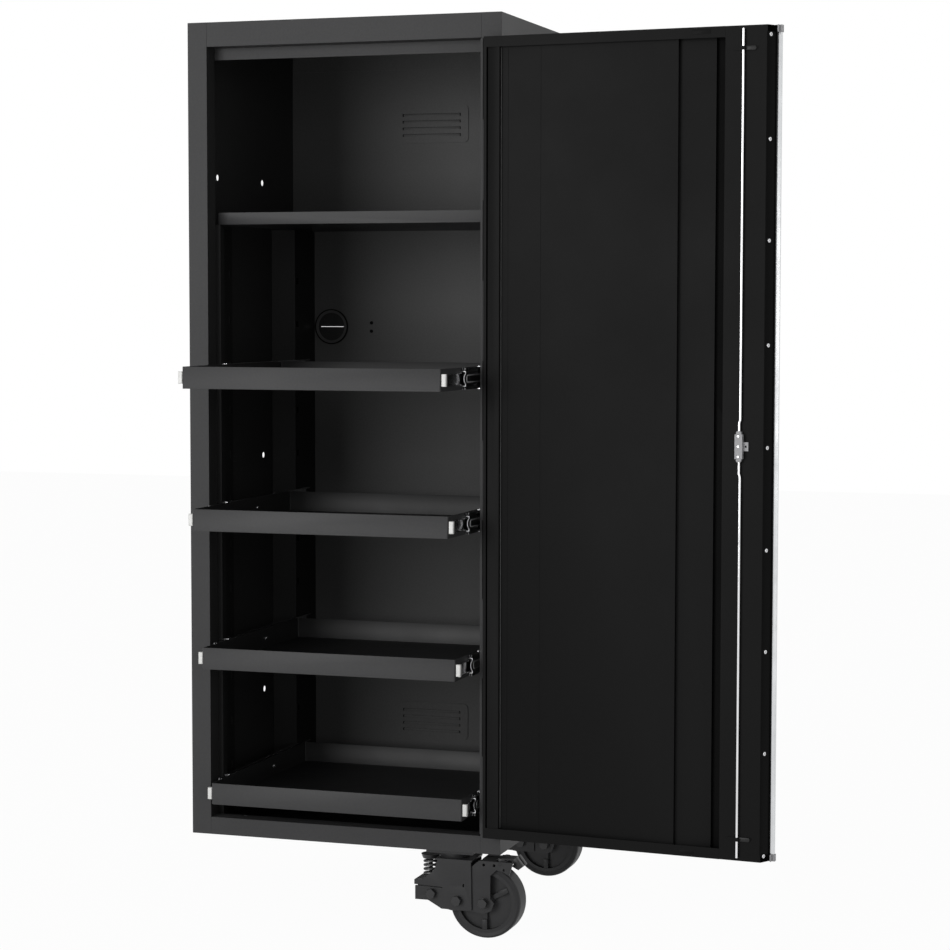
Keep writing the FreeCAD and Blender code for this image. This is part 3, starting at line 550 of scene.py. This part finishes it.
def cable_grommet():
    middle = at(GROMMET_X, BACK_FACE - GROMMET_THICKNESS / 2, GROMMET_Z)
    piece = upright_disc("cable_grommet_rubber", GROMMET_RADIUS, GROMMET_THICKNESS, middle, 72)
    bpy.ops.object.transform_apply(location=True, rotation=True, scale=True)
    pick(piece, "FACE", lambda face: face.normal.y < -0.9)
    inset_steps(FRONT_STEPS)
    pick(piece, "FACE", lambda face: face.normal.y > 0.9)
    inset_steps(BACK_STEPS)
    for turn, long, high in SLITS:
        slit = block("slit", (GROMMET_X - long, BACK_FACE - 5, GROMMET_Z - high),
                     (GROMMET_X + long, BACK_FACE + 2, GROMMET_Z + high), 0.05)
        slit.rotation_euler = (0, radians(turn), 0)
        activate(slit)
        bpy.ops.object.transform_apply(location=False, rotation=True, scale=False)
        cut_away(piece, slit)
    # the rubber gets the near-black coat, its lip a painted shadow gap; the ring gets the back wall's painted
    # light
    settle(piece, "cabinet", shade_black_coat, 25)

    def from_middle(spot):
        return Vector((spot.x - GROMMET_X, 0, spot.z - GROMMET_Z)).length

    inner, outer = GROMMET_RING
    line_with(piece, back_wall_light_coat, lambda spot, way: inner < from_middle(spot) < outer and way.y < -0.3)
    line_with(piece, black_nylon, lambda spot, way: from_middle(spot) < inner and way.y < -0.3)
    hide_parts("cable_grommet")


def wall_plugs():
    model = pan_head(PLUG_RADIUS)
    for number, z in enumerate(PLUG_ROWS, start=1):
        place = at(PLUG_X, BACK_FACE, z)
        set_screw(model, PLUG_RADIUS, "wall_plug_%d" % number, place, (0, -1, 0), "cabinet",
                  shade_black_coat)
    bpy.data.objects.remove(model)


LOUVRE_PADS = (("upper", 1555.0), ("lower", 208.0))
LOUVRE_ROWS = 4
LOUVRE_PITCH = 15.0
FIRST_LOUVRE = 16.5
PAD_FACE = BACK_FACE - 2
BLADE_X = (270.2, 403.8)
BLADE_Z = (-6.6, -0.6)
BAFFLE_X = (266.5, 407.5)
BAFFLE_Z = (-8.0, 0.8)


def louvres():
    """The blade in each louvre's slot, and the baffle behind it, a near-black sheet of painted shade."""
    (left, right), (foot, head) = BLADE_X, BLADE_Z
    blade = block("blade", (left, PAD_FACE + 0.05, foot), (right, PAD_FACE + 1.25, head), 0.2, 2.8)
    (left, right), (foot, head) = BAFFLE_X, BAFFLE_Z
    baffle = block("baffle", (left, PAD_FACE + 1.3, foot), (right, PAD_FACE + 2.3, head), 0.2)
    for pad, top in LOUVRE_PADS:
        for row in range(LOUVRE_ROWS):
            rise = Matrix.Translation((0, 0, (top - FIRST_LOUVRE - LOUVRE_PITCH * row) / 1000))
            for part, model, coat in (("blade", blade, back_wall_light_coat), ("baffle", baffle, shade_black_coat)):
                piece = copy_of(model, "%s_louvre_%s_%d" % (pad, part, row + 1), rise)
                settle(piece, "cabinet", coat)
    for model in (blade, baffle):
        bpy.data.objects.remove(model)


cable_grommet()
wall_plugs()
louvres()

# ---- slide ends, ball cages and catches ----
# each side's name, the x of its slides' outer faces, and the way inwards
SLIDE_SIDES = (("left", 53.3, 1), ("right", 626.7, -1))
MEMBER_REACH = (1.5, 12.4)
MEMBER_HALF = 15.3
MEMBER_FRONT = 55.0
WAIST_RADIUS = 17.0
WAIST_BITE = 3.4
PASSAGE_REACH = (6.7, 14.0)
PASSAGE_HALF = 12.6
CAGE_REACH = (1.6, 2.9)
CAGE_LENGTH = (6.0, 98.0)
CAGE_HALF = 8.0
CAGE_SUNKEN_HALF = 6.0
CATCH_FRONT = 9.5


def across(x, way, reach):
    """The two x values of a stretch that is measured inwards from a slide's outer face."""
    return sorted((x + way * reach[0], x + way * reach[1]))


def waisted(x, way, front, inset, thick):
    """A plate narrowed at its waist, as the rolled end of a slide member is, open where the catch passes."""
    near, far = across(x, way, (MEMBER_REACH[0] + inset, MEMBER_REACH[1] - inset))
    half = MEMBER_HALF - inset
    model = block("waisted", (near, front - thick, -half), (far, front, half), 0.2)
    for side, edge in ((-1, near), (1, far)):
        middle = at(edge + side * (WAIST_RADIUS - WAIST_BITE), front, 0)
        cut_away(model, upright_disc("scoop", WAIST_RADIUS, 20, middle, 48))
    near, far = across(x, way, PASSAGE_REACH)
    passage = block("passage", (near, front - 4, -PASSAGE_HALF), (far, front + 4, PASSAGE_HALF), 0.05)
    cut_away(model, passage)
    return model


def ball_cage(x, way):
    """The long ball cage in a slide member's channel, with a sunken middle."""
    near, far = across(x, way, CAGE_REACH)
    start, stop = CAGE_LENGTH
    model = block("ball_cage", (near, start, -CAGE_HALF), (far, stop, CAGE_HALF), 0.3, 6.5, 0)
    pick(model, "FACE", lambda face: abs(face.normal.x) > 0.99)
    inset_steps(((0.0019, -0.0003),))
    return model


slide_fronts = [(side, waisted(x, way, front=-0.1, inset=0.0, thick=1.2),
                 waisted(x, way, front=-1.0, inset=1.5, thick=0.6), ball_cage(x, way))
                for side, x, way in SLIDE_SIDES]
for number, bottom, out in TRAYS:
    z = bottom + SLIDE_RISE
    y = MEMBER_FRONT - (out + TRAY_SHUT_DEPTH) / 2
    body = body_of_node["slide_middle_%d" % number]
    place = Matrix.Translation((0, y / 1000, z / 1000))
    for side, end_plate, mouth_plate, cage_model in slide_fronts:
        name = "slide_%d_%s_" % (number, side)
        settle(copy_of(end_plate, name + "end", place), body, zinc)
        # the mouth plate is a near-black sheet of painted shade inside the slide's rolled end
        settle(copy_of(mouth_plate, name + "mouth_shade", place), body, shade_black_coat)
        cage = settle(copy_of(cage_model, name + "cage", place), body, cage_steel_painted_sheen)
        line_with(cage, dull_zinc, lambda spot, way: abs(way.x) > 0.99 and abs(spot.z - z) < CAGE_SUNKEN_HALF)
    catch = softened("catches_%d" % number, 0.7)
    line_with(catch, black_nylon, lambda spot, way: spot.y > -out + CATCH_FRONT)
for side, *models in slide_fronts:
    for model in models:
        bpy.data.objects.remove(model)

# ---- screws of the trays, the edge strip and the latch case ----
# each side's name, the x of its screws and the way that their heads face
TRAY_SCREW_SIDES = (("left", 67.2, 1), ("right", 612.8, -1))
TRAY_SCREW_DEPTHS = (60.0, 330.0)
# u and y on the door
EDGE_STRIP_SCREW = (579.5, 20.0)
LATCH_CASE_SCREW = (529.0, 38.0)
EDGE_STRIP_ROWS = (1620, 1424, 1233, 1035, 840, 644, 449, 252, 53)
LATCH_CASE_ROWS = (861.6, 842, 822.4)

screw = pan_head(SCREW_RADIUS)
for number, bottom, out in TRAYS:
    for side, x, way in TRAY_SCREW_SIDES:
        for spot, y in enumerate(TRAY_SCREW_DEPTHS, start=1):
            place = at(x, y - out, bottom + SLIDE_RISE)
            set_screw(screw, SCREW_RADIUS, "tray_%d_screw_%s_%d" % (number, side, spot), place, (way, 0, 0),
                      "tray_%d" % number, polished)
for number, z in enumerate(EDGE_STRIP_ROWS, start=1):
    place = on_door(*EDGE_STRIP_SCREW, z)
    set_screw(screw, SCREW_RADIUS, "edge_strip_screw_%d" % number, place, STRIP_FACING, "door",
              zinc)
bpy.data.objects.remove(screw)
small_screw = pan_head(CASE_SCREW_RADIUS)
for number, z in enumerate(LATCH_CASE_ROWS, start=1):
    place = on_door(*LATCH_CASE_SCREW, z)
    set_screw(small_screw, CASE_SCREW_RADIUS, "latch_case_screw_%d" % number, place, DOOR_INWARD, "door",
              polished)
bpy.data.objects.remove(small_screw)


# ---- small sheet details of the door, drawn closed and turned with it ----
def door_block(name, u, y, z, edge, corner, material):
    piece = block(name, (DOOR_EDGE - u[1], y[0], z[0]), (DOOR_EDGE - u[0], y[1], z[1]), edge, corner)
    piece.matrix_world = DOOR_TURN @ piece.matrix_world
    settle(piece, "door", material)


LINER_SIGHT = (62.5, 1616.5)
for name, u, y, z, edge, corner, coat in (
        # the seam and the two creases are near-black lines of painted shade
        ("edge_strip_seam", (575.1, 576.7), (27.4, 28.2), (54.5, 1624.5), 0.15, 0, shade_black_coat),
        ("top_flange_plate", (428, 466), (27.9, 28.3), (1624, 1634), 0.15, 1.5, door_shade_coat),
        ("bottom_flange_plate", (414, 443), (27.9, 28.3), (46, 53), 0.15, 1.5, door_shade_coat),
        # the step edge is a painted highlight
        ("liner_step_edge", (32.9, 34.0), (17.9, 18.7), LINER_SIGHT, 0.15, 0, fold_highlight_coat),
        ("liner_crease_1", (47.7, 48.4), (17.9, 18.1), LINER_SIGHT, 0.03, 0, shade_black_coat),
        ("liner_crease_2", (116.7, 117.3), (17.9, 18.1), LINER_SIGHT, 0.03, 0, shade_black_coat)):
    door_block(name, u, y, z, edge, corner, coat)
for name, z in (("bottom", 84), ("top", 1595)):
    door_block("rod_guide_tail_" + name, (534, 556), (28.05, 31.5), (z - 4, z + 4), 0.5, 3.4,
               black_nylon)

# ---- casters: springs, pedals, bolt heads and wheel ribs; x and y are measured from the swivel ----
SPRING_TURNS = 4
SPRING_RADIUS = 13.2
WIRE_RADIUS = 2.6
SPRING_PITCH = 8.3
SPRING_X = -52.0
SPRING_FOOT = -60.3
# each bolt's x and z, and how far from the middle its head starts
BOLTS = (("spring", -38, -89, 36.5), ("pivot", 17, -100, 36.5), ("axle", AXLE_X, AXLE_Z, 33.5))
# each side's way outwards and the height of its heads
HEAD_SIDES = (("near", -1, 10.5), ("far", 1, 6.0))
PEDAL_HALF = 17.0
TOE_GAP_HALF = 3.0
TOE_BEND = radians(-38)
EAR_FACES = (18.0, 22.0)
PIN_RADIUS = 3.0
PIN_LENGTH = 63.0
HEAD_RADIUS = 10.6
HEAD_TURN = 15.0
RIB_ANGLES = (90, 210, 330)
RIB_REACH = (36.0, 56.5)
RIB_HALF = 5.2
RIB_DEPTH = (19.0, 24.4)


def coil_spring():
    deselect()
    bpy.ops.mesh.primitive_circle_add(vertices=12, radius=WIRE_RADIUS / 1000, fill_type="NOTHING",
                                      rotation=(radians(90), 0, 0), location=(SPRING_RADIUS / 1000, 0, 0))
    model = bpy.context.object
    bpy.ops.object.transform_apply(location=True, rotation=True, scale=True)
    winding = model.modifiers.new("winding", "SCREW")
    winding.angle = radians(360)
    winding.screw_offset = SPRING_PITCH / 1000
    winding.iterations = SPRING_TURNS
    winding.steps = 32
    winding.render_steps = 32
    winding.use_merge_vertices = True
    bpy.ops.object.modifier_apply(modifier="winding")
    bpy.ops.object.mode_set(mode="EDIT")
    bpy.ops.mesh.select_mode(type="EDGE")
    bpy.ops.mesh.select_all(action="DESELECT")
    bpy.ops.mesh.select_non_manifold()
    bpy.ops.mesh.edge_face_add()
    bpy.ops.mesh.select_all(action="SELECT")
    bpy.ops.mesh.normals_make_consistent(inside=False)
    bpy.ops.object.mode_set(mode="OBJECT")
    return model


def brake_pedal():
    """The pedal's plate, its two bent toe tabs, its two ears and their pin, about the swivel."""
    parts = [block("plate", (98, -PEDAL_HALF, -15), (132, PEDAL_HALF, -11), 0.8)]
    for low, high in ((-PEDAL_HALF, -TOE_GAP_HALF), (TOE_GAP_HALF, PEDAL_HALF)):
        tab = block("tab", (126, low, -36), (139, high, -12), 1.2)
        tab.matrix_world = turned_about(at(130, 0, -14), TOE_BEND, "Y") @ tab.matrix_world
        parts.append(tab)
    inside, outside = EAR_FACES
    for low, high in ((-outside, -inside), (inside, outside)):
        parts.append(block("ear", (100, low, -27), (114, high, -11), 0.8, 4.0))
    parts.append(upright_disc("pin", PIN_RADIUS, PIN_LENGTH, at(107, 0, -21), 24))
    round_edges(parts[-1], 0.5, segments=1, angle=30)
    return joined(parts, "pedal")


def bolt_head(tall):
    model = upright_disc("bolt_head", HEAD_RADIUS, tall, (0, 0, 0), 6, HEAD_TURN)
    round_edges(model, 0.9)
    return model


spring_model = coil_spring()
pedal_model = brake_pedal()
head_models = {side: bolt_head(tall) for side, way, tall in HEAD_SIDES}
rib_model = block("rib", (RIB_REACH[0], RIB_DEPTH[0], -RIB_HALF), (RIB_REACH[1], RIB_DEPTH[1], RIB_HALF), 0.8)
for end, x, y in CASTERS:
    foot = at(x + SPRING_X, y, SPRING_FOOT)
    spring = copy_of(spring_model, end + "_coil_spring", Matrix.Translation(foot))
    settle(spring, body_of_node[end + "_spring"], spring_steel, 50)
    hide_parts(end + "_spring")
    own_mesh(spring)
    pedal = copy_of(pedal_model, end + "_pedal_plate", Matrix.Translation((x / 1000, y / 1000, 0)))
    settle(pedal, body_of_node[end + "_brake_pedal"], caster_coat)
    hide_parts(end + "_brake_pedal")
    for side, way, tall in HEAD_SIDES:
        for name, bolt_x, bolt_z, start in BOLTS:
            place = at(x + bolt_x, y + way * (start + tall / 2), bolt_z)
            head_name = "%s_%s_bolt_head_%s" % (end, name, side)
            head = copy_of(head_models[side], head_name, Matrix.Translation(place))
            settle(head, body_of_node[end + "_arm_bolts"], dark_bolt, 20)
        for number, angle in enumerate(RIB_ANGLES, start=1):
            hub = at(x + AXLE_X, y if way > 0 else y - sum(RIB_DEPTH), AXLE_Z)
            move = Matrix.Translation(hub - CORNER) @ turned_about(CORNER, radians(angle), "Y")
            settle(copy_of(rib_model, "%s_wheel_rib_%s_%d" % (end, side, number), move),
                   body_of_node[end + "_wheel_hub"], wheel_plastic)
for model in (spring_model, pedal_model, rib_model, *head_models.values()):
    bpy.data.objects.remove(model)

# ---- floor and background ----
deselect()
bpy.ops.mesh.primitive_plane_add(size=24, location=(0, 0, at(0, 0, FLOOR_Z).z))
ground = bpy.context.object
ground.name = "studio_floor"
bpy.ops.object.transform_apply(location=True, rotation=True, scale=True)
FLOOR_WHITE_SHARE = 0.965
SKY_STRENGTH = 0.3


def seen_by_eye(tree):
    """One for what the camera, a reflection or a clear piece shows, nothing for what lights the object."""
    path = tree.nodes.new("ShaderNodeLightPath").outputs
    direct = combined(tree, "MAXIMUM", path["Is Camera Ray"], path["Is Glossy Ray"])
    return combined(tree, "MAXIMUM", direct, path["Is Transmission Ray"])


def blended(tree, share, first, second):
    """Mixes two shaders by a share and gives the result."""
    mix = tree.nodes.new("ShaderNodeMixShader")
    for value, socket in zip((share, first.outputs[0], second.outputs[0]), mix.inputs):
        feed(tree, value, socket)
    return mix.outputs[0]


floor_material = bpy.data.materials.new("studio_floor_paint")
floor_material.use_nodes = True
floor_tree = floor_material.node_tree
matte = floor_tree.nodes["Principled BSDF"]
matte.inputs["Base Color"].default_value = (0.9, 0.9, 0.9, 1)
matte.inputs["Roughness"].default_value = 0.9
white = add(floor_tree, "Emission", Color=(1, 1, 1, 1), Strength=1.0)
share = combined(floor_tree, "MULTIPLY", seen_by_eye(floor_tree), FLOOR_WHITE_SHARE)
floor_surface = floor_tree.nodes["Material Output"].inputs["Surface"]
feed(floor_tree, blended(floor_tree, share, matte, white), floor_surface)
paint(ground, floor_material)

world = bpy.data.worlds.new("studio")
bpy.context.scene.world = world
world.use_nodes = True
sky = world.node_tree
soft = sky.nodes["Background"]
soft.inputs["Color"].default_value = (1, 1, 1, 1)
soft.inputs["Strength"].default_value = SKY_STRENGTH
plain = add(sky, "Background", Color=(1, 1, 1, 1), Strength=1.0)
feed(sky, blended(sky, seen_by_eye(sky), soft, plain), sky.nodes["World Output"].inputs["Surface"])


# ---- lamps and camera ----
def lamp(name, place, target, size, power):
    light = bpy.data.lights.new(name, "AREA")
    light.shape = "RECTANGLE"
    light.size, light.size_y = size
    light.energy = power
    thing = bpy.data.objects.new(name, light)
    bpy.context.collection.objects.link(thing)
    thing.location = place
    thing.rotation_euler = (Vector(target) - Vector(place)).to_track_quat("-Z", "Y").to_euler()


LAMP_TARGET = at(500, 0, 850)
lamp("front_left_softbox", at(-1800, -5200, 1500), LAMP_TARGET, (2.6, 2.6), 135)
lamp("front_right_softbox", at(3800, -4400, 1500), LAMP_TARGET, (2.0, 2.4), 25)

YAW = radians(18.1542)
PITCH = radians(-3.9375)
ROLL = radians(0.0709)
EYE = at(2172.2, -4717.5, 1111.7)
PICTURE_PIXELS = 950
FOCAL_PIXELS = 2476.81
SENSOR_WIDTH = 36.0

forward = Vector((-sin(YAW) * cos(PITCH), cos(YAW) * cos(PITCH), sin(PITCH)))
level = Vector((cos(YAW), sin(YAW), 0))
upward = level.cross(forward)
right = level * cos(ROLL) + upward * sin(ROLL)
upright = upward * cos(ROLL) - level * sin(ROLL)
camera = bpy.data.cameras.new("catalogue_camera")
camera.sensor_width = SENSOR_WIDTH
camera.lens = FOCAL_PIXELS / PICTURE_PIXELS * SENSOR_WIDTH
camera.clip_start = 0.1
camera.clip_end = 60.0
eye = bpy.data.objects.new("catalogue_camera", camera)
bpy.context.collection.objects.link(eye)
eye.matrix_world = Matrix.Translation(EYE) @ Matrix((right, upright, -forward)).transposed().to_4x4()
bpy.context.scene.camera = eye
bpy.context.scene.view_settings.view_transform = "Standard"
